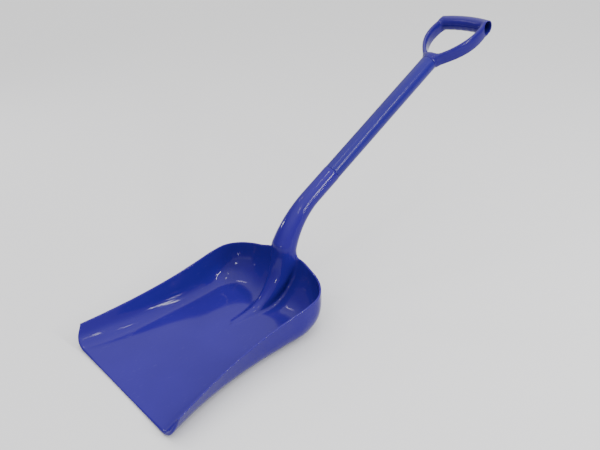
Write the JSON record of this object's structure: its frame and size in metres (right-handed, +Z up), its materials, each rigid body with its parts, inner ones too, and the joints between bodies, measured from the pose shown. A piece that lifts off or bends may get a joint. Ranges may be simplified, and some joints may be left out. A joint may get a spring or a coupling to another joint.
{
  "type": "feed scoop",
  "caption": "Long-handled plastic feed scoop: a deep open-fronted pan on a gooseneck, a straight tube shaft and a D-grip.",
  "frame": {"origin": "on the pan's flat underside, on the centre line, 170 mm behind the front lip", "axes": "+Z up from the pan's underside, +Y from the front lip to the grip, +X across the pan"},
  "size_m": [0.3354, 0.964, 0.4449],
  "materials": {
    "pan_plastic": "glossy royal blue polypropylene",
    "handle_plastic": "glossy royal blue polypropylene",
    "inner_plastic": "plain moulded polypropylene, not seen from outside"
  },
  "bodies": {
    "root": {"scoop_pan": "pan_plastic", "shaft_tube": "handle_plastic", "d_grip": "handle_plastic", "neck_spigot": "inner_plastic", "grip_spigot": "inner_plastic"}
  },
  "joints": []
}
